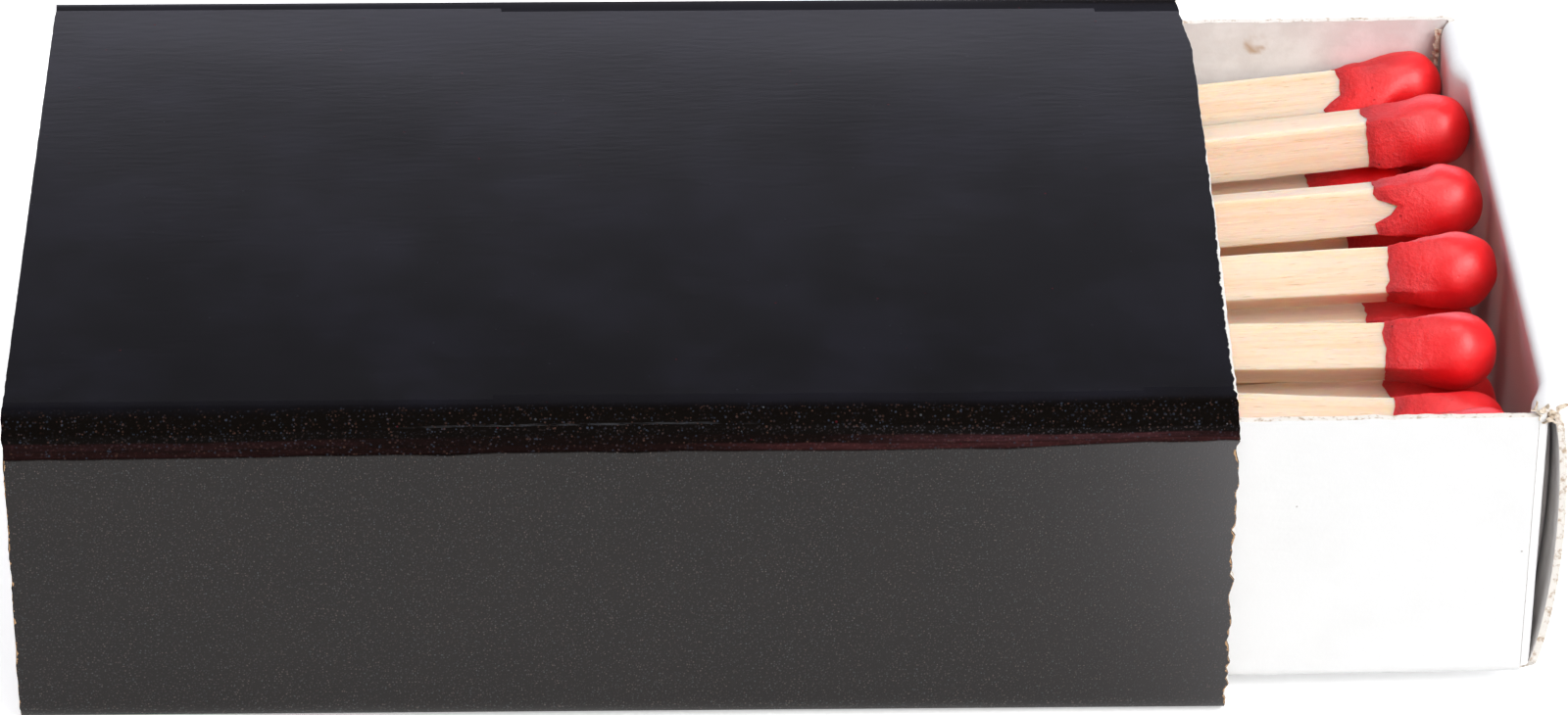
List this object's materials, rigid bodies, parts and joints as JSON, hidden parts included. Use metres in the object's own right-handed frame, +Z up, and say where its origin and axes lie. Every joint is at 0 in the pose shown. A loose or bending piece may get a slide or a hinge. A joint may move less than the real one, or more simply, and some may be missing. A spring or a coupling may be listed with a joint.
{
  "type": "matchbox",
  "caption": "Card matchbox partly slid open: a folded sleeve with striking strips on its narrow sides and a folded tray that holds four layers of red-headed wooden matches.",
  "frame": {"origin": "middle of the sleeve's underside, on the surface that the box lies on", "axes": "+X along the slide towards the drawn-out end of the tray, +Z up out of the broad face, -Y towards the near striking strip"},
  "size_m": [0.0676, 0.0362, 0.016],
  "materials": {
    "printed_card": "satin blue-black print on folded card",
    "striker": "matte grey-brown striking coat with fine dots",
    "white_card": "matte white card with raw cut edges",
    "splint_wood": "plain sawn poplar",
    "head_coat": "matte red dipped coat, slightly rough",
    "dipped_match": "plain sawn poplar with a red dipped head"
  },
  "bodies": {
    "sleeve": {"sleeve": "printed_card", "striking_strip_near": "striker", "striking_strip_far": "striker"},
    "tray": {"tray": "white_card", "top_splint_1": "splint_wood", "top_splint_2": "splint_wood", "top_splint_3": "splint_wood", "top_splint_4": "splint_wood", "top_splint_5": "splint_wood", "top_splint_6": "splint_wood", "top_splint_7": "splint_wood", "second_splint_1": "splint_wood", "second_splint_2": "splint_wood", "second_splint_3": "splint_wood", "second_splint_4": "splint_wood", "second_splint_5": "splint_wood", "second_splint_6": "splint_wood", "second_splint_7": "splint_wood", "second_splint_8": "splint_wood", "third_splint_1": "splint_wood", "third_splint_2": "splint_wood", "third_splint_3": "splint_wood", "third_splint_4": "splint_wood", "third_splint_5": "splint_wood", "third_splint_6": "splint_wood", "third_splint_7": "splint_wood", "third_splint_8": "splint_wood", "top_head_1": "head_coat", "top_head_2": "head_coat", "top_head_3": "head_coat", "top_head_4": "head_coat", "top_head_5": "head_coat", "top_head_6": "head_coat", "top_head_7": "head_coat", "second_head_1": "head_coat", "second_head_2": "head_coat", "second_head_3": "head_coat", "second_head_4": "head_coat", "second_head_5": "head_coat", "second_head_6": "head_coat", "second_head_7": "head_coat", "second_head_8": "head_coat", "third_head_1": "head_coat", "third_head_2": "head_coat", "third_head_3": "head_coat", "third_head_4": "head_coat", "third_head_5": "head_coat", "third_head_6": "head_coat", "third_head_7": "head_coat", "third_head_8": "head_coat", "bottom_match_1": "dipped_match", "bottom_match_2": "dipped_match", "bottom_match_3": "dipped_match", "bottom_match_4": "dipped_match", "bottom_match_5": "dipped_match", "bottom_match_6": "dipped_match", "bottom_match_7": "dipped_match", "bottom_match_8": "dipped_match", "bottom_match_9": "dipped_match"}
  },
  "joints": [
    {"name": "tray_slide", "type": "slide", "parent": "sleeve", "child": "tray", "axis": [1, 0, 0], "range_m": [-0.068, 0.0396]}
  ]
}
